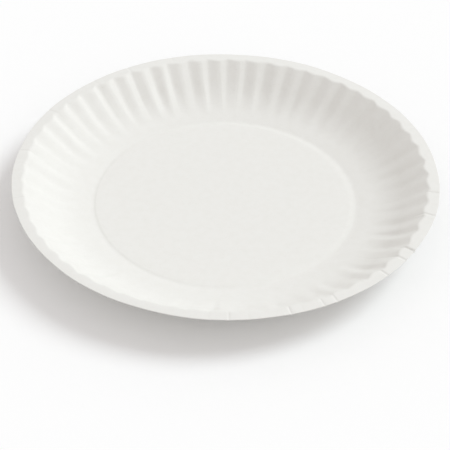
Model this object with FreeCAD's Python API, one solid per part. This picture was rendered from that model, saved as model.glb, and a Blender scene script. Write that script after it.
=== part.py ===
import FreeCAD, Part

import math
import os

# A round disposable plate pressed from one disc of uncoated white board.
# It has a flat floor, a pressed crease ring that it stands on, a gentle lower wall,
# a steeper fluted wall and a narrow rim that falls a little towards its cut edge.
# The board is folded into flat facets, which follow each flute's ridge, flanks and valley.
# The frame is +Z up, with the origin on the table at the plate's centre. Sizes are millimetres.

# Driving dimensions
plate_diameter = 228.6
plate_height = 20.2
board_thickness = 0.4
stand_diameter = 142.0
stand_width = 0.6
floor_lift = 0.25
crease_width = 2.0
lower_wall_angle = 12.5
steep_wall_angle = 40.4
foot_bend = 38.0
shoulder_bend = 3.0
rim_width = 8.0
rim_fall_angle = 1.0
flute_count = 57
flute_reach = 1.9
first_ridge_angle = 92.9

# Folds of one flute, as shares of its pitch to either side of the ridge,
# and the share of flute_reach that the flank has gained at its fold
flank_fold_share = 0.2
valley_fold_share = 0.46
flank_reach_share = 0.24

# Corners count as lying in one plane, and edges as one edge, within this distance
tolerance = 1e-5

edge_radius = plate_diameter / 2
stand_radius = stand_diameter / 2
stand_inner = stand_radius - stand_width / 2
stand_outer = stand_radius + stand_width / 2
flute_pitch = 2 * math.pi / flute_count
first_ridge = math.radians(first_ridge_angle)
crease = math.atan2(floor_lift, crease_width)
low = math.radians(lower_wall_angle)
steep = math.radians(steep_wall_angle)
fall = math.radians(rim_fall_angle)
up = FreeCAD.Vector(0, 0, 1)

fold_phases = [-valley_fold_share, -flank_fold_share, 0.0, flank_fold_share, valley_fold_share]
fold_reaches = [flute_reach * share for share in (1, flank_reach_share, 0, flank_reach_share, 1)]


def reach_slopes():
    """How fast the wall moves outward per radian, in the facet before and the facet after each fold."""
    phases = fold_phases + [1 + fold_phases[0]]
    reaches = fold_reaches + [fold_reaches[0]]
    after = []
    for start, end in zip(range(len(fold_phases)), range(1, len(phases))):
        after.append((reaches[end] - reaches[start]) / ((phases[end] - phases[start]) * flute_pitch))
    return [(after[number - 1], after[number]) for number in range(len(after))]


def section_normal(slope):
    """The upper face's normal in the plate's section, as radius and height, where it rises at a slope."""
    return -math.sin(slope), math.cos(slope)


def bend(radius, height, before, after, bend_radius):
    """The start, middle and end of a bend that rounds the section's corner between two slopes, each as
    radius, height and slope."""
    run = bend_radius * math.tan(abs(after - before) / 2)
    start = radius - run * math.cos(before), height - run * math.sin(before)
    end = radius + run * math.cos(after), height + run * math.sin(after)
    side = math.copysign(bend_radius, after - before)
    first, halfway = section_normal(before), section_normal((before + after) / 2)
    middle = [start[axis] + side * (first[axis] - halfway[axis]) for axis in (0, 1)]
    return [(*start, before), (*middle, (before + after) / 2), (*end, after)]


def rim_height_at(radius):
    """Height of the rim's upper face. On a ridge the rim starts at plate_height, where its bend ends."""
    crest_radius = edge_radius - rim_width + shoulder_bend * math.tan((steep + fall) / 2) * math.cos(fall)
    return plate_height - (radius - crest_radius) * math.tan(fall)


def lower_wall_height_at(radius):
    return board_thickness + (radius - stand_outer) * math.tan(low)


def wall_section(reach):
    """The section's corners from the foot of the fluted wall to the cut edge, where the wall lies this
    far outside a ridge's. Each is a radius, a height, a slope, and the share of the flutes' tilt there."""
    shoulder_radius = edge_radius - rim_width + reach
    shoulder_height = rim_height_at(shoulder_radius)
    rise = shoulder_height - lower_wall_height_at(shoulder_radius)
    foot_radius = shoulder_radius - rise / (math.tan(steep) - math.tan(low))
    foot_height = lower_wall_height_at(foot_radius)
    foot = bend(foot_radius, foot_height, low, steep, foot_bend)
    shoulder = bend(shoulder_radius, shoulder_height, steep, -fall, shoulder_bend)
    edge = (edge_radius, rim_height_at(edge_radius), -fall)
    tilt_shares = (0, 0.5, 1, 1, 0.5, 0, 0)
    return [(*corner, share) for corner, share in zip(foot + shoulder + [edge], tilt_shares)]


def corner(angle, radius, height, normals):
    """A corner's points on the upper and the lower face, with the board's thickness across both normals.
    Each normal is a slope outward and a slope along the rim."""
    outward = FreeCAD.Vector(math.cos(angle), math.sin(angle), 0)
    along = FreeCAD.Vector(-math.sin(angle), math.cos(angle), 0)
    upper = outward * radius + up * height
    first, second = [
        (up - outward * math.tan(slope) - along * side_slope).normalize() for slope, side_slope in normals
    ]
    return upper, upper - (first + second) * (board_thickness / (1 + first.dot(second)))


def fold_angles():
    """The angle of every fold round the plate, with the number of its fold in the flute."""
    for flute in range(flute_count):
        for fold, phase in enumerate(fold_phases):
            yield fold, first_ridge + (flute + phase) * flute_pitch


def round_row(radius, height, before, after):
    """A row of corners at one radius and height, where the section's slope changes."""
    normals = [(before, 0), (after, 0)]
    return [corner(angle, radius, height, normals) for _, angle in fold_angles()]


def wall_rows():
    """The rows of corners from the foot of the fluted wall to the cut edge."""
    sections = [wall_section(reach) for reach in fold_reaches]
    slopes = reach_slopes()
    rows = [[] for _ in sections[0]]
    for fold, angle in fold_angles():
        for row, (radius, height, slope, share) in zip(rows, sections[fold]):
            normals = []
            for reach_slope in slopes[fold]:
                side_slope = -share * reach_slope * (math.tan(steep) + math.tan(fall)) / radius
                normals.append((slope, side_slope))
            row.append(corner(angle, radius, height, normals))
    return rows


def facet(*corners):
    return Part.Face(Part.makePolygon([*corners, corners[0]]))


def strip(inner, outer):
    """Facets between two rows of points. Where a piece isn't flat, it folds on the diagonal that starts
    nearer the ridge on the inner row."""
    facets = []
    for number in range(len(inner)):
        following = (number + 1) % len(inner)
        a, b, c, d = inner[number], inner[following], outer[following], outer[number]
        across = (b - a).cross(c - a)
        if abs((d - a).dot(across)) < tolerance * across.Length:
            facets.append(facet(a, b, c, d))
        elif fold_phases[number % len(fold_phases)] < 0:
            facets += [facet(a, b, d), facet(b, c, d)]
        else:
            facets += [facet(a, b, c), facet(a, c, d)]
    return facets


def plate():
    """The whole plate as one solid."""
    floor_top = board_thickness + floor_lift
    rows = [
        round_row(stand_inner - crease_width, floor_top, 0, -crease),
        round_row(stand_inner, board_thickness, -crease, 0),
        round_row(stand_outer, board_thickness, 0, low),
        *wall_rows(),
    ]
    uppers = [[upper for upper, _ in row] for row in rows]
    lowers = [[lower for _, lower in row] for row in rows]
    faces = strip(uppers[-1], lowers[-1])
    for points in (uppers, lowers):
        faces.append(facet(*points[0]))
        for inner, outer in zip(points, points[1:]):
            faces += strip(inner, outer)
    skin = Part.makeCompound(faces)
    skin.sewShape(tolerance)
    solid = Part.Solid(skin.Shells[0])
    if solid.Volume < 0:
        solid.reverse()
    return solid


def main():
    os.makedirs("parts", exist_ok=True)
    solid = plate()
    print("valid", solid.isValid(), "closed", solid.isClosed(), "faces", len(solid.Faces))
    print("volume mm3", round(solid.Volume, 1), "box", solid.BoundBox)
    solid.exportStep("parts/plate.step")


main()
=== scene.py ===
import math
import random

import bpy
import numpy as np
from bpy.props import FloatProperty, FloatVectorProperty, IntProperty, PointerProperty
from mathutils import Matrix, Vector


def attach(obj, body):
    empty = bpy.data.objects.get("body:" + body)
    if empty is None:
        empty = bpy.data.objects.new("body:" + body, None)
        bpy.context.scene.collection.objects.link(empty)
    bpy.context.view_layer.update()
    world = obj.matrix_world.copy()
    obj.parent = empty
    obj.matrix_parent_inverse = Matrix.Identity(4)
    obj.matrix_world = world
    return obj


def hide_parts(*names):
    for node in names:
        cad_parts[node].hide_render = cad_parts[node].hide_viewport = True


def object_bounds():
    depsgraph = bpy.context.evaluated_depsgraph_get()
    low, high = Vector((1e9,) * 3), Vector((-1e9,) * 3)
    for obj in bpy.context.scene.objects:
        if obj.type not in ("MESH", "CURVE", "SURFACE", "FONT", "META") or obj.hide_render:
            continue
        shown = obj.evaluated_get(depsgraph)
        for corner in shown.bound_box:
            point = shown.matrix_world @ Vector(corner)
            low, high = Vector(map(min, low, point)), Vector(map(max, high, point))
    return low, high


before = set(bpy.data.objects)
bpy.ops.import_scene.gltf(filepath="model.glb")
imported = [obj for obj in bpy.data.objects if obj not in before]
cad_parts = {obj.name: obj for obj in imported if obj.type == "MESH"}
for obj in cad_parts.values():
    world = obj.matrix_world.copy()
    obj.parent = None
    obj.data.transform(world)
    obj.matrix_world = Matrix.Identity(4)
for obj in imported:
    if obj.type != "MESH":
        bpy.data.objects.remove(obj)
CAD_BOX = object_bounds()

bl_info = {
    "name": "Paper Plate",
    "version": (1, 0, 0),
    "blender": (4, 5, 0),
    "location": "View3D > Sidebar > Paper Plate",
    "description": "Presses a fluted plate from one disc of uncoated white board",
    "category": "Add Mesh",
}

MM = 0.001
PLATE_BODY = "root"
PLATE_NODE = "plate"

# Directions round the plate start at +X, the right, and turn towards +Y, the back.

# Folds across the rim, where the gathered board shows most: direction in degrees, depth in mm
RIM_FOLDS = [
    (21.5, 0.40), (107.2, 0.12), (121.3, 0.20), (133.1, 0.12), (152.0, 0.22), (171.9, 0.34), (193.1, 0.24),
    (271.3, 0.28), (286.6, 0.34), (295.3, 0.30), (298.8, 0.34), (315.0, 0.55), (322.5, 0.55), (326.9, 1.20),
    (342.5, 0.60), (352.2, 0.60),
]
# Faint folds in random directions: how many, and their least and greatest depth in mm
FAINT_FOLDS = 22
FAINT_DEPTHS = (0.03, 0.08)
# A fold's half width, how far inside the cut edge it starts, and the way that it takes to its full depth
FOLD_WIDTH = 0.5 * MM
FOLD_START = 9.5 * MM
FOLD_RUN = FOLD_START / 2

# How deep the flutes are pressed round the plate: direction in degrees, and the share of the full reach
# that they have at the shoulder and at the foot
FLUTE_DEPTHS = [
    (0, 0.90, 0.00), (15, 1.00, 0.10), (30, 1.00, 0.40), (45, 0.95, 0.75), (60, 0.80, 0.75), (90, 0.90, 0.90),
    (105, 1.00, 1.00), (135, 1.20, 0.95), (150, 1.20, 0.70), (165, 0.90, 0.35), (180, 0.50, 0.10),
    (195, 0.50, 0.10), (215, 0.75, 0.20), (240, 0.55, 0.15), (255, 0.35, 0.10), (285, 0.30, 0.10),
    (300, 0.65, 0.00), (315, 0.95, 0.20), (330, 0.90, 0.15), (345, 0.85, 0.00), (360, 0.90, 0.00),
]
# How late a flute that is shallow at the foot deepens towards the shoulder: 1 is evenly
FLUTE_GROWTH = 2.2

# Where the flutes lean aside most, and how many times narrower than half the plate the leaning part is
SWIRL_DIRECTION = math.radians(335)
SWIRL_NARROWING = 1.2
# Up to where a flute leans as its foot does, and the way that it takes to its top's lean, in plate heights
LEAN_START = 0.2
LEAN_SPAN = 0.6
# Where the crease step is widest and softest
CREASE_FADE_DIRECTION = math.radians(15)

# How much single flutes differ: in place and in the lean of the foot, in pitches, in the depth of a valley
# as a share of its own, in how far out a ridge lies as a share of the full reach, and in the wall's rise
UNEVEN_PLACE = 0.06
UNEVEN_LEAN = 0.1
UNEVEN_VALLEY = 0.14
UNEVEN_RIDGE = 0.06
UNEVEN_RISE = math.radians(1.3)

# Slow waves of the board's height and of its cut edge: their height, and how many go round the plate
WARP = 0.35 * MM
WARP_WAVES = (2, 3, 5, 7)
CUT_WAVER = 0.4 * MM
CUT_WAVES = (9, 13, 22, 31)

# How closely the board's mesh is divided: columns to one flute and how much they crowd at its ridge,
# columns across a fold and the least step between columns, in fold widths, and rows along the section
FLUTE_COLUMNS = 14
RIDGE_CROWDING = 0.45
FOLD_COLUMNS = (-2.2, -1.1, 0.0, 1.1, 2.2)
LEAST_COLUMN_STEP = 0.2
FLOOR_SHARES = (0.12, 0.35, 0.6, 0.82, 0.94)
STEP_ROWS = 6
STAND_ROWS = 2
LOWER_ROWS = 5
FOOT_ROWS = 6
STEEP_ROWS = 7
SHOULDER_ROWS = 7
RIM_ROWS = 5
# The last rows of the upper face, inside the cut edge. The last one is also the edge's rounding.
EDGE_INSETS = (0.3 * MM, 0.12 * MM)

# Noise levels between which the clouds and the fibres come up
CLOUD_LEVELS = (0.3, 0.75)
FIBRE_LEVELS = (0.72, 0.8)
# Fibres lie in three directions, and are so many times longer than they are wide
FIBRE_TURNS = (0.3, 1.35, 2.4)
FIBRE_LENGTH = 2.2 * MM
FIBRE_SLIMNESS = 16
# Streaks of the grain, in grain sizes, with how slim they are and which way they lie
STREAK_SIZE = 4
STREAK_SLIMNESS = 6
STREAK_TURN = 0.8
# How much the roughness varies with the grain, to either side
ROUGHNESS_SPREAD = 0.05

# The table's half width and how far the camera sees, in metres, and the width of its sensor, in mm
TABLE_HALF = 6.0
CAMERA_REACH = 50
SENSOR_WIDTH = 36


class PlateShape(bpy.types.PropertyGroup):
    """Sizes of the pressed board."""

    diameter: FloatProperty(
        name="Diameter", description="Nominal width across the cut edge", subtype="DISTANCE",
        default=CAD_BOX[1][0] - CAD_BOX[0][0],
    )
    height: FloatProperty(
        name="Height", description="From the table to the top of the shoulder", subtype="DISTANCE",
        default=CAD_BOX[1][2] - CAD_BOX[0][2],
    )
    thickness: FloatProperty(
        name="Board Thickness", description="Thickness of the board", subtype="DISTANCE", default=0.4 * MM
    )
    stand_diameter: FloatProperty(
        name="Stand Diameter", description="Middle of the crease ring that the plate stands on",
        subtype="DISTANCE", default=142 * MM,
    )
    stand_width: FloatProperty(
        name="Stand Width", description="Width of the flat bottom of the crease ring", subtype="DISTANCE",
        default=0.6 * MM,
    )
    stand_shift: FloatProperty(
        name="Stand Shift", description="How far the crease ring lies off the rim's centre",
        subtype="DISTANCE", default=0.6 * MM,
    )
    stand_direction: FloatProperty(
        name="Stand Direction", description="Direction in which the crease ring is nearer the centre",
        subtype="ANGLE", default=math.radians(30),
    )
    floor_lift: FloatProperty(
        name="Floor Lift", description="Height of the floor over the crease ring", subtype="DISTANCE",
        default=0.25 * MM,
    )
    crease_width: FloatProperty(
        name="Crease Width", description="Width of the step from the floor down to the crease ring",
        subtype="DISTANCE", default=2.5 * MM,
    )
    crease_fade: FloatProperty(
        name="Crease Fade", description="How much wider and softer that step is at the right",
        subtype="FACTOR", default=0.45, min=0.0, max=0.8,
    )
    lower_angle: FloatProperty(
        name="Lower Wall Angle", description="Rise of the plain lower wall", subtype="ANGLE",
        default=math.radians(12.5),
    )
    steep_angle: FloatProperty(
        name="Steep Wall Angle", description="Rise of the fluted wall", subtype="ANGLE",
        default=math.radians(40.4),
    )
    foot_bend: FloatProperty(
        name="Foot Bend", description="Radius between the lower wall and the fluted wall", subtype="DISTANCE",
        default=38 * MM,
    )
    shoulder_bend: FloatProperty(
        name="Shoulder Bend", description="Radius between the fluted wall and the rim", subtype="DISTANCE",
        default=2.4 * MM,
    )
    rim_width: FloatProperty(
        name="Rim Width", description="From a ridge's shoulder to the cut edge, on average",
        subtype="DISTANCE", default=7 * MM,
    )
    rim_fall: FloatProperty(
        name="Rim Fall", description="Fall of the rim towards its cut edge, where the rim is narrowest",
        subtype="ANGLE", default=math.radians(1),
    )
    rim_droop: FloatProperty(
        name="Rim Droop", description="How much more the rim falls where it is widest", subtype="ANGLE",
        default=math.radians(3.5),
    )
    cut_inset: FloatProperty(
        name="Cut Inset", description="How far the cut edge lies inside the nominal diameter",
        subtype="DISTANCE", default=0.5 * MM,
    )
    off_center: FloatProperty(
        name="Off Center", description="How much wider than on average the rim is where it is widest",
        subtype="DISTANCE", default=1 * MM,
    )
    off_direction: FloatProperty(
        name="Off Direction", description="Direction in which the rim is widest", subtype="ANGLE",
        default=math.radians(80),
    )
    flute_count: IntProperty(name="Flutes", description="Number of flutes round the wall", default=57, min=3)
    flute_reach: FloatProperty(
        name="Flute Reach", description="How far a valley's wall lies outside a ridge's", subtype="DISTANCE",
        default=1.9 * MM,
    )
    first_ridge: FloatProperty(
        name="First Ridge", description="Direction of the first ridge", subtype="ANGLE",
        default=math.radians(92.9),
    )
    swirl: FloatProperty(
        name="Swirl", description="How far the flutes at the front right lean aside, in pitches",
        subtype="FACTOR", default=0.4, min=0.0, max=1.0,
    )
    flute_skew: FloatProperty(
        name="Flute Skew", description="How far a valley lies past the middle between its ridges, in pitches",
        subtype="FACTOR", default=0.05, min=-0.2, max=0.2,
    )
    ridge_flat: FloatProperty(
        name="Ridge Flat", description="Share of the way from ridge to valley where the ridge is flat",
        subtype="FACTOR", default=0.05, min=0.0, max=0.4,
    )
    ridge_round: FloatProperty(
        name="Ridge Round", description="Share of that way that the bend from ridge to flank takes up",
        subtype="FACTOR", default=0.25, min=0.01, max=0.4,
    )
    valley_round: FloatProperty(
        name="Valley Round", description="Share of that way that the bend at the valley takes up",
        subtype="FACTOR", default=0.1, min=0.01, max=0.2,
    )
    unevenness: FloatProperty(
        name="Unevenness", description="How much the flutes and the rim differ from the even shape",
        subtype="FACTOR", default=1.0, min=0.0, max=1.0,
    )
    seed: IntProperty(name="Seed", description="Picks one plate out of the run", default=7)


class BoardFinish(bpy.types.PropertyGroup):
    """Colours and grain of the board."""

    board_color: FloatVectorProperty(
        name="Board Color", description="Colour of the uncoated board", subtype="COLOR",
        default=(0.883, 0.877, 0.846), min=0.0, max=1.0,
    )
    shade_color: FloatVectorProperty(
        name="Shade Color", description="Colour of the thinner patches in the board", subtype="COLOR",
        default=(0.869, 0.862, 0.828), min=0.0, max=1.0,
    )
    fibre_color: FloatVectorProperty(
        name="Fibre Color", description="Colour of single darker fibres", subtype="COLOR",
        default=(0.78, 0.765, 0.72), min=0.0, max=1.0,
    )
    cloud_size: FloatProperty(
        name="Cloud Size", description="Size of the faint patches in the board", subtype="DISTANCE",
        default=4 * MM,
    )
    grain_size: FloatProperty(
        name="Grain Size", description="Size of the surface grain", subtype="DISTANCE", default=0.35 * MM
    )
    grain_depth: FloatProperty(
        name="Grain Depth", description="Depth of the surface grain", subtype="DISTANCE", default=0.02 * MM
    )
    roughness: FloatProperty(
        name="Roughness", description="Roughness of the uncoated surface", subtype="FACTOR", default=0.88,
        min=0.0, max=1.0,
    )


class StageLook(bpy.types.PropertyGroup):
    """Camera, table and light."""

    aim: FloatVectorProperty(
        name="Aim", description="Point that the camera looks at", subtype="XYZ", unit="LENGTH",
        default=(0.03 * MM, -44.68 * MM, 20.06 * MM),
    )
    distance: FloatProperty(
        name="Distance", description="From the camera to the point that it looks at", subtype="DISTANCE",
        default=703 * MM,
    )
    elevation: FloatProperty(
        name="Elevation", description="Height of the camera over the horizon", subtype="ANGLE",
        default=math.radians(40.35),
    )
    roll: FloatProperty(
        name="Roll", description="Turn of the camera about its line of sight", subtype="ANGLE",
        default=math.radians(0.95),
    )
    lens: FloatProperty(name="Lens", description="Focal length of the camera, in mm", default=110.43)
    ambient: FloatProperty(name="Ambient", description="Strength of the even light", default=0.66)
    ambient_color: FloatVectorProperty(
        name="Ambient Color", description="Colour of the even light, a little warm", subtype="COLOR",
        default=(1.027, 0.996, 0.985), min=0.0, max=2.0,
    )
    key: FloatProperty(name="Key", description="Strength of the soft lamp", default=1.31)
    key_color: FloatVectorProperty(
        name="Key Color", description="Colour of the soft lamp, a little cool", subtype="COLOR",
        default=(0.940, 1.009, 1.035), min=0.0, max=2.0,
    )
    key_azimuth: FloatProperty(
        name="Key Azimuth", description="Direction that the soft lamp shines from", subtype="ANGLE",
        default=math.radians(24),
    )
    key_elevation: FloatProperty(
        name="Key Elevation", description="Height of the soft lamp over the horizon", subtype="ANGLE",
        default=math.radians(44),
    )
    key_softness: FloatProperty(
        name="Key Softness", description="Apparent width of the soft lamp", subtype="ANGLE",
        default=math.radians(28),
    )
    table_glow: FloatProperty(
        name="Table Glow", description="Light that the table adds where it is looked at", default=0.04
    )
    table_color: FloatVectorProperty(
        name="Table Color", description="Colour of the table", subtype="COLOR", default=(0.8, 0.8, 0.8),
        min=0.0, max=1.0,
    )
    seen_table_color: FloatVectorProperty(
        name="Seen Table Color", description="Colour of the table where it is looked at", subtype="COLOR",
        default=(1.0, 1.0, 1.0), min=0.0, max=1.0,
    )


def turns_of(shape, chance):
    """The ridges and valleys in turn round the plate, from a ridge to the same ridge again. Each row holds
    a direction, how far out the wall's shoulder and its foot lie there, the rise of an even wall and how
    far the foot leans aside."""
    pitch = 2 * math.pi / shape.flute_count
    where, *depths = zip(*FLUTE_DEPTHS)
    turns = []
    for number in range(2 * shape.flute_count):
        in_valley = number % 2
        uneven = [shape.unevenness * chance.uniform(-1, 1) for _ in range(4)]
        skew = shape.flute_skew if in_valley else 0
        direction = shape.first_ridge + (number / 2 + skew + UNEVEN_PLACE * uneven[0]) * pitch
        if in_valley:
            shares = [float(np.interp(math.degrees(direction) % 360, where, depth)) for depth in depths]
            reach, foot_reach = [share * (1 + UNEVEN_VALLEY * uneven[1]) for share in shares]
        else:
            reach = foot_reach = UNEVEN_RIDGE * (shape.unevenness + uneven[1])
        rise = shape.steep_angle + UNEVEN_RISE * uneven[2]
        lean = UNEVEN_LEAN * uneven[3] * pitch
        turns.append([direction, reach * shape.flute_reach, foot_reach * shape.flute_reach, rise, lean])
    turns.append([turns[0][0] + 2 * math.pi, *turns[0][1:]])
    return np.array(turns)


def turned_away(directions, direction):
    """How far directions lie from one direction, from minus half a turn to half a turn."""
    return (directions - direction + math.pi) % (2 * math.pi) - math.pi


def swirl_at(shape, directions):
    """The angle between the foot and the top of a flute that leans aside."""
    away = turned_away(directions, SWIRL_DIRECTION)
    near = np.maximum(np.cos(np.clip(SWIRL_NARROWING * away, -math.pi / 2, math.pi / 2)), 0)
    return shape.swirl * near * 2 * math.pi / shape.flute_count


def folds_of(shape, chance):
    """Direction, before the swirl, and depth of each fold across the rim: those in RIM_FOLDS, and faint
    ones between them."""
    folds = [(math.radians(direction), depth * MM) for direction, depth in RIM_FOLDS]
    for _ in range(FAINT_FOLDS):
        folds.append((chance.uniform(0, 2 * math.pi), chance.uniform(*FAINT_DEPTHS) * MM))
    return [
        (direction + float(swirl_at(shape, direction)) / 2, shape.unevenness * depth)
        for direction, depth in folds
    ]


def column_directions(shape, turns, folds):
    """Direction of each column of the mesh: closer together at the ridges, with a few across each fold."""
    half = FLUTE_COLUMNS // 2
    shares = np.arange(half) / half
    crowding = RIDGE_CROWDING * np.sin(math.pi * shares) / math.pi
    directions = []
    for number, (start, end) in enumerate(zip(turns[:-1, 0], turns[1:, 0])):
        steps = shares + crowding if number % 2 else shares - crowding
        directions += list(start + (end - start) * steps)
    first = turns[0, 0]
    spread = FOLD_WIDTH / (shape.diameter / 2)
    for direction, _ in folds:
        directions += [first + (direction + step * spread - first) % (2 * math.pi) for step in FOLD_COLUMNS]
    directions = np.sort(np.array(directions))
    apart = np.diff(directions, append=first + 2 * math.pi) > LEAST_COLUMN_STEP * spread
    return directions[apart]


def fold_round(share, ridge_flat, ridge_round, valley_round):
    """How far out the wall lies at a share of the way from ridge to valley: a flat ridge, then a straight
    flank with a round at either end."""
    past = np.maximum(share - ridge_flat, 0)
    level = np.where(past < ridge_round, past**2 / (2 * ridge_round), past - ridge_round / 2)
    level -= np.maximum(share - (1 - valley_round), 0) ** 2 / (2 * valley_round)
    return level / (1 - ridge_flat - ridge_round / 2 - valley_round / 2)


def flutes_at(shape, turns, directions):
    """How far out the wall's shoulder and foot lie, the rise of an even wall and the lean of its foot in
    each direction."""
    last = len(turns) - 2
    number = np.clip(np.searchsorted(turns[:, 0], directions, side="right") - 1, 0, last)
    start, end = turns[number], turns[number + 1]
    way = (directions - start[:, 0]) / (end[:, 0] - start[:, 0])
    rising = (number % 2 == 0)[:, None]
    ridge, valley = np.where(rising, start, end), np.where(rising, end, start)
    share = np.where(rising[:, 0], way, 1 - way)
    level = fold_round(share, shape.ridge_flat, shape.ridge_round, shape.valley_round)
    ease = share * share * (3 - 2 * share)
    steps = valley - ridge
    reach, foot_reach = [ridge[:, item] + steps[:, item] * level for item in (1, 2)]
    rise, lean = [ridge[:, item] + steps[:, item] * ease for item in (3, 4)]
    return reach, foot_reach, rise, lean


def bend_rows(radius, height, before, after, bend_radius, rows):
    """Rows of points along a bend that rounds the corner between two slopes of the section."""
    run = bend_radius * np.tan(np.abs(after - before) / 2)
    start_radius, start_height = radius - run * np.cos(before), height - run * np.sin(before)
    side = np.sign(after - before) * bend_radius
    points = []
    for row in range(rows + 1):
        slope = before + (after - before) * row / rows
        along = start_radius + side * (np.sin(slope) - np.sin(before))
        points.append((along, start_height + side * (np.cos(before) - np.cos(slope))))
    return points


def straight_rows(start, end, rows):
    """Rows of points strictly between two rows."""
    return [
        tuple(first + (second - first) * row / rows for first, second in zip(start, end))
        for row in range(1, rows)
    ]


def cut_radius(shape):
    """Radius of the cut edge, before its waver."""
    return shape.diameter / 2 - shape.cut_inset


def floor_rows(shape, directions):
    """Radius and height of the board's upper face in each column, row by row from the floor's middle to
    the outer edge of the crease ring's flat bottom."""
    nearer = np.cos(directions - shape.stand_direction)
    stand_radius = shape.stand_diameter / 2 - shape.stand_shift * nearer
    stand_inner, stand_outer = stand_radius - shape.stand_width / 2, stand_radius + shape.stand_width / 2
    crease_width = shape.crease_width * (1 + shape.crease_fade * np.cos(directions - CREASE_FADE_DIRECTION))
    step_start = stand_inner - crease_width
    floor_height = shape.thickness + shape.floor_lift
    even = np.ones_like(directions)
    rows = [(step_start * share, floor_height * even) for share in FLOOR_SHARES]
    for step in range(STEP_ROWS + 1):
        share = step / STEP_ROWS
        drop = shape.floor_lift * share * share * (3 - 2 * share)
        rows.append((step_start + crease_width * share, (floor_height - drop) * even))
    stand_end = stand_outer, shape.thickness * even
    return rows + straight_rows(rows[-1], stand_end, STAND_ROWS) + [stand_end]


def wall_rows(shape, directions, stand_end, flutes):
    """Radius and height of the board's upper face in each column, row by row from the crease ring to just
    short of the cut edge. The flutes are how far out the wall's shoulder and foot lie, and its rise."""
    reach, foot_reach, rise = flutes
    low = shape.lower_angle
    edge_radius = cut_radius(shape)
    wider = np.cos(directions - shape.off_direction)
    rim_width = shape.rim_width + shape.off_center * wider
    fall = shape.rim_fall + shape.rim_droop * (1 + wider) / 2
    crest = edge_radius - rim_width
    crest += shape.shoulder_bend * np.tan((shape.steep_angle + fall) / 2) * np.cos(fall)
    crest_height = shape.height - shape.shoulder_bend * (1 - np.cos(fall))
    even = np.ones_like(directions)

    def rim_height(radius):
        return crest_height - (radius - crest) * np.tan(fall)

    def lower_height(radius):
        return shape.thickness + (radius - stand_end[0]) * math.tan(low)

    shoulder_radius = edge_radius - rim_width + reach
    shoulder_height = rim_height(shoulder_radius)
    climb = shoulder_height - lower_height(shoulder_radius)
    foot_radius = shoulder_radius - climb / (np.tan(rise) - math.tan(low)) + foot_reach - reach
    foot_height = lower_height(foot_radius)
    steep = np.arctan((shoulder_height - foot_height) / (shoulder_radius - foot_radius))
    foot = bend_rows(foot_radius, foot_height, low * even, steep, shape.foot_bend, FOOT_ROWS)
    shoulder = bend_rows(
        shoulder_radius, shoulder_height, steep, -fall, shape.shoulder_bend, SHOULDER_ROWS
    )
    rows = straight_rows(stand_end, foot[0], LOWER_ROWS) + foot
    for number, (radius, height) in enumerate(straight_rows(foot[-1], shoulder[0], STEEP_ROWS), start=1):
        share = number / STEEP_ROWS
        late = (reach - foot_reach) * (share - share**FLUTE_GROWTH)
        rows.append((radius - late, height))
    rows += shoulder
    edge_rows = []
    for inset in EDGE_INSETS:
        radius = (edge_radius - inset) * even
        edge_rows.append((radius, rim_height(radius)))
    return rows + straight_rows(shoulder[-1], edge_rows[0], RIM_ROWS) + edge_rows


def slow_wave(directions, chance, waves):
    """A slow random wave round the plate, from -1 to 0, made of waves that each go round so many times."""
    level = np.zeros_like(directions)
    for count in waves:
        level += chance.uniform(0.5, 1) * np.cos(count * directions + chance.uniform(0, 2 * math.pi)) / count
    return (level - level.max()) / (level.max() - level.min())


def pressed_face(shape, chance):
    """The board's upper face as a grid of points, rows by columns, and how far each fold has pulled it
    down there."""
    turns = turns_of(shape, chance)
    folds = folds_of(shape, chance)
    directions = column_directions(shape, turns, folds)
    *flutes, lean = flutes_at(shape, turns, directions)
    rows = floor_rows(shape, directions)
    rows += wall_rows(shape, directions, rows[-1], flutes)
    radius, height = [np.array(values) for values in zip(*rows)]

    climb = np.clip(height / shape.height, 0, 1)
    height += WARP * shape.unevenness * slow_wave(directions, chance, WARP_WAVES) * climb
    low = 1 - np.clip(climb - LEAN_START, 0, LEAN_SPAN) / LEAN_SPAN
    angle = directions + lean * low + swirl_at(shape, directions) * (low - 0.5)
    on_rim = np.clip((radius - cut_radius(shape)) / shape.rim_width + 1, 0, 1)
    radius += CUT_WAVER * shape.unevenness * slow_wave(directions, chance, CUT_WAVES) * on_rim

    pull = np.zeros_like(radius)
    grow = np.clip((radius - (cut_radius(shape) - FOLD_START)) / FOLD_RUN, 0, 1)
    for direction, depth in folds:
        away = turned_away(directions, direction)
        pull += depth * grow * np.exp(-((away * radius / FOLD_WIDTH) ** 2))
    points = np.stack([radius * np.cos(angle), radius * np.sin(angle), height], axis=-1)
    return points, pull


def face_normals(points):
    """Upward unit normals of a grid of points that closes on itself along its columns."""
    outward = np.gradient(points, axis=0)
    along = (np.roll(points, -1, axis=1) - np.roll(points, 1, axis=1)) / 2
    normals = np.cross(outward, along)
    return normals / np.linalg.norm(normals, axis=-1, keepdims=True)


def board_grid(shape):
    """Points of the whole board, rows by columns: the upper face from its middle outward, the rounded cut
    edge, and the lower face back to the middle."""
    upper, pull = pressed_face(shape, random.Random(shape.seed))
    normals = face_normals(upper)
    lower = upper - normals * shape.thickness
    lower[:, :, 2] = np.maximum(lower[:, :, 2], 0)
    outward = upper[-1] * (1, 1, 0)
    outward /= np.linalg.norm(outward, axis=-1, keepdims=True)
    inset = EDGE_INSETS[-1]
    rounds = [
        upper[-1] + outward * inset - normals[-1] * inset,
        lower[-1] + outward * inset + normals[-1] * inset,
    ]
    drop = pull[:, :, None] * np.array((0, 0, 1.0))
    return np.concatenate([upper - drop, [ring - drop[-1] for ring in rounds], (lower - drop)[::-1]])


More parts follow.
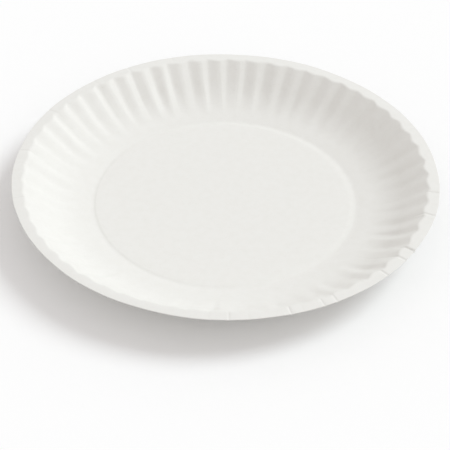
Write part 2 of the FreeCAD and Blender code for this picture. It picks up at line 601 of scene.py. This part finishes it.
def grid_faces(rows, columns):
    """Faces of a grid that closes on itself along its columns: quads between its rows, and fans that close
    its first and last row round the two points that follow the grid."""
    here = np.arange(columns)
    following = np.roll(here, -1)
    starts = np.arange(rows - 1)[:, None] * columns
    quads = np.stack(
        [starts + here, starts + columns + here, starts + columns + following, starts + following], axis=-1
    )
    top, bottom = rows * columns, rows * columns + 1
    last = (rows - 1) * columns
    pairs = list(zip(here.tolist(), following.tolist()))
    fans = [(top, first, second) for first, second in pairs]
    fans += [(bottom, last + second, last + first) for first, second in pairs]
    return quads.reshape(-1, 4).tolist() + fans


def board_mesh(shape):
    """The whole board as one closed mesh."""
    grid = board_grid(shape)
    middle_height = shape.thickness + shape.floor_lift
    middles = [(0, 0, middle_height), (0, 0, middle_height - shape.thickness)]
    points = np.concatenate([grid.reshape(-1, 3), middles])
    mesh = bpy.data.meshes.new("plate_board")
    mesh.from_pydata(points.tolist(), [], grid_faces(*grid.shape[:2]))
    mesh.validate()
    mesh.shade_smooth()
    return mesh


def add_node(tree, kind, **settings):
    """A node of a material or world, with its settings."""
    node = tree.nodes.new(kind)
    for name, value in settings.items():
        setattr(node, name, value)
    return node


def add_noise(tree, where, size, detail, stretch=(1, 1, 1), turn=0.0):
    """Noise with features of a given size, which may be stretched and turned about the plate's axis."""
    mapping = add_node(tree, "ShaderNodeMapping")
    mapping.inputs["Rotation"].default_value = (0, 0, turn)
    mapping.inputs["Scale"].default_value = stretch
    noise = add_node(tree, "ShaderNodeTexNoise")
    noise.inputs["Scale"].default_value = 1 / size
    noise.inputs["Detail"].default_value = detail
    tree.links.new(where, mapping.inputs["Vector"])
    tree.links.new(mapping.outputs["Vector"], noise.inputs["Vector"])
    return noise.outputs["Fac"]


def add_ramp(tree, value, levels):
    """The share of the way that a value has gone between two levels."""
    ramp = add_node(tree, "ShaderNodeMapRange", interpolation_type="SMOOTHSTEP")
    ramp.inputs["From Min"].default_value, ramp.inputs["From Max"].default_value = levels
    tree.links.new(value, ramp.inputs["Value"])
    return ramp.outputs["Result"]


def add_color_mix(tree, share, first, second):
    """A mix of two colours, each a colour or another node's output."""
    mix = add_node(tree, "ShaderNodeMix", data_type="RGBA")
    tree.links.new(share, mix.inputs["Factor"])
    for name, color in (("A", first), ("B", second)):
        socket = [item for item in mix.inputs if item.name == name and item.type == "RGBA"][0]
        if isinstance(color, bpy.types.NodeSocket):
            tree.links.new(color, socket)
        else:
            socket.default_value = (*color, 1)
    return [item for item in mix.outputs if item.type == "RGBA"][0]


def board_material(finish):
    """Uncoated white board: faint clouds where the pulp lies thinner, a few darker fibres and a fine
    grain of pressed fibres."""
    material = bpy.data.materials.new("uncoated_white_board")
    material.use_nodes = True
    tree = material.node_tree
    shader = tree.nodes["Principled BSDF"]
    where = add_node(tree, "ShaderNodeTexCoord").outputs["Object"]

    clouds = add_ramp(tree, add_noise(tree, where, finish.cloud_size, 4), CLOUD_LEVELS)
    color = add_color_mix(tree, clouds, finish.board_color, finish.shade_color)
    for turn in FIBRE_TURNS:
        fibres = add_noise(tree, where, FIBRE_LENGTH, 1, stretch=(1, FIBRE_SLIMNESS, 1), turn=turn)
        color = add_color_mix(tree, add_ramp(tree, fibres, FIBRE_LEVELS), color, finish.fibre_color)
    tree.links.new(color, shader.inputs["Base Color"])

    grain = add_noise(tree, where, finish.grain_size, 3)
    streaks = add_noise(
        tree, where, STREAK_SIZE * finish.grain_size, 2, stretch=(1, STREAK_SLIMNESS, 1), turn=STREAK_TURN
    )
    height = add_node(tree, "ShaderNodeMath", operation="ADD")
    tree.links.new(grain, height.inputs[0])
    tree.links.new(streaks, height.inputs[1])
    bump = add_node(tree, "ShaderNodeBump")
    bump.inputs["Strength"].default_value = 1
    bump.inputs["Distance"].default_value = finish.grain_depth
    tree.links.new(height.outputs["Value"], bump.inputs["Height"])
    tree.links.new(bump.outputs["Normal"], shader.inputs["Normal"])

    rough = add_node(tree, "ShaderNodeMapRange")
    rough.inputs["To Min"].default_value = finish.roughness - ROUGHNESS_SPREAD
    rough.inputs["To Max"].default_value = finish.roughness + ROUGHNESS_SPREAD
    tree.links.new(grain, rough.inputs["Value"])
    tree.links.new(rough.outputs["Result"], shader.inputs["Roughness"])
    shader.inputs["Specular IOR Level"].default_value = 0.2
    shader.inputs["IOR"].default_value = 1.5
    return material


def seen_by_camera(tree):
    """1 where a surface is looked at, straight or through gloss or glass, and 0 where it only gives light."""
    path = add_node(tree, "ShaderNodeLightPath")
    seen = path.outputs["Is Camera Ray"]
    for name in ("Is Glossy Ray", "Is Transmission Ray"):
        either = add_node(tree, "ShaderNodeMath", operation="MAXIMUM")
        tree.links.new(seen, either.inputs[0])
        tree.links.new(path.outputs[name], either.inputs[1])
        seen = either.outputs["Value"]
    return seen


def table_material(look):
    """A plain pale table that looks nearly white and keeps the plate's shadow."""
    material = bpy.data.materials.new("pale_table")
    material.use_nodes = True
    tree = material.node_tree
    shader = tree.nodes["Principled BSDF"]
    seen = seen_by_camera(tree)
    color = add_color_mix(tree, seen, look.table_color, look.seen_table_color)
    tree.links.new(color, shader.inputs["Base Color"])
    glow = add_node(tree, "ShaderNodeMath", operation="MULTIPLY")
    tree.links.new(seen, glow.inputs[0])
    glow.inputs[1].default_value = look.table_glow
    shader.inputs["Emission Color"].default_value = (1, 1, 1, 1)
    tree.links.new(glow.outputs["Value"], shader.inputs["Emission Strength"])
    shader.inputs["Roughness"].default_value = 0.9
    shader.inputs["Specular IOR Level"].default_value = 0.0
    return material


class PAPERPLATE_OT_press_board(bpy.types.Operator):
    """Press the plate from one disc of board, with its crease ring, flutes and rim"""

    bl_idname = "paperplate.press_board"
    bl_label = "Press Board"
    bl_options = {"REGISTER", "UNDO"}

    def execute(self, context):
        scene = context.scene
        mesh = board_mesh(scene.paper_plate_shape)
        if len(mesh.polygons) == 0:
            raise RuntimeError("the plate's board has no faces")
        mesh.materials.append(board_material(scene.paper_plate_finish))
        board = bpy.data.objects.new("plate_board", mesh)
        scene.collection.objects.link(board)
        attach(board, PLATE_BODY)
        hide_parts(PLATE_NODE)
        return {"FINISHED"}


class PAPERPLATE_OT_set_stage(bpy.types.Operator):
    """Set up the table, the camera, the soft lamp and the even light"""

    bl_idname = "paperplate.set_stage"
    bl_label = "Set Stage"
    bl_options = {"REGISTER", "UNDO"}

    def execute(self, context):
        scene = context.scene
        look = scene.paper_plate_stage
        self.add_table(scene, look)
        self.add_camera(scene, look)
        self.add_key(scene, look)
        self.add_even_light(scene, look)
        scene.view_settings.view_transform = "Standard"
        return {"FINISHED"}

    def add_table(self, scene, look):
        """A square table top at the height that the plate stands on."""
        mesh = bpy.data.meshes.new("table")
        near, far = -TABLE_HALF, TABLE_HALF
        corners = [(near, near, 0), (far, near, 0), (far, far, 0), (near, far, 0)]
        mesh.from_pydata(corners, [], [(0, 1, 2, 3)])
        mesh.materials.append(table_material(look))
        table = bpy.data.objects.new("table", mesh)
        scene.collection.objects.link(table)

    def add_camera(self, scene, look):
        """A camera at the height and distance that the plate is seen from."""
        back = Vector((0, -math.cos(look.elevation), math.sin(look.elevation)))
        right = Vector((1, 0, 0))
        up = back.cross(right)
        turned_right = right * math.cos(look.roll) + up * math.sin(look.roll)
        turned_up = up * math.cos(look.roll) - right * math.sin(look.roll)
        placement = Matrix((turned_right, turned_up, back)).transposed().to_4x4()
        placement.translation = Vector(look.aim) + back * look.distance
        lens = bpy.data.cameras.new("camera")
        lens.sensor_width = SENSOR_WIDTH
        lens.lens = look.lens
        lens.clip_end = CAMERA_REACH
        camera = bpy.data.objects.new("camera", lens)
        camera.matrix_world = placement
        scene.collection.objects.link(camera)
        scene.camera = camera

    def add_key(self, scene, look):
        """A soft lamp from the right and a little behind."""
        flat = math.cos(look.key_elevation)
        towards = Vector((
            flat * math.cos(look.key_azimuth), flat * math.sin(look.key_azimuth), math.sin(look.key_elevation)
        ))
        light = bpy.data.lights.new("key", "SUN")
        light.energy = look.key
        light.color = look.key_color
        light.angle = look.key_softness
        key = bpy.data.objects.new("key", light)
        key.matrix_world = towards.to_track_quat("Z", "Y").to_matrix().to_4x4()
        scene.collection.objects.link(key)

    def add_even_light(self, scene, look):
        """An even pale surround, which looks white itself."""
        world = bpy.data.worlds.new("even_light")
        world.use_nodes = True
        tree = world.node_tree
        surround = tree.nodes["Background"]
        seen = seen_by_camera(tree)
        color = add_color_mix(tree, seen, look.ambient_color, (1, 1, 1))
        tree.links.new(color, surround.inputs["Color"])
        strength = add_node(tree, "ShaderNodeMapRange")
        strength.inputs["To Min"].default_value = look.ambient
        strength.inputs["To Max"].default_value = 1
        tree.links.new(seen, strength.inputs["Value"])
        tree.links.new(strength.outputs["Result"], surround.inputs["Strength"])
        scene.world = world


class PAPERPLATE_PT_sidebar(bpy.types.Panel):
    """Sizes, finish and stage of the paper plate"""

    bl_idname = "PAPERPLATE_PT_sidebar"
    bl_label = "Paper Plate"
    bl_space_type = "VIEW_3D"
    bl_region_type = "UI"
    bl_category = "Paper Plate"

    def draw(self, context):
        scene = context.scene
        for heading, settings, action in (
            ("Board", (scene.paper_plate_shape, scene.paper_plate_finish), PAPERPLATE_OT_press_board),
            ("Stage", (scene.paper_plate_stage,), PAPERPLATE_OT_set_stage),
        ):
            box = self.layout.box()
            box.label(text=heading)
            for group in settings:
                for name in group.__annotations__:
                    box.prop(group, name)
            box.operator(action.bl_idname)


CLASSES = (
    PlateShape,
    BoardFinish,
    StageLook,
    PAPERPLATE_OT_press_board,
    PAPERPLATE_OT_set_stage,
    PAPERPLATE_PT_sidebar,
)


def register():
    for item in CLASSES:
        bpy.utils.register_class(item)
    bpy.types.Scene.paper_plate_shape = PointerProperty(type=PlateShape)
    bpy.types.Scene.paper_plate_finish = PointerProperty(type=BoardFinish)
    bpy.types.Scene.paper_plate_stage = PointerProperty(type=StageLook)


def unregister():
    del bpy.types.Scene.paper_plate_stage
    del bpy.types.Scene.paper_plate_finish
    del bpy.types.Scene.paper_plate_shape
    for item in reversed(CLASSES):
        bpy.utils.unregister_class(item)


def main():
    register()
    bpy.ops.paperplate.press_board()
    bpy.ops.paperplate.set_stage()


if __name__ == "__main__":
    main()
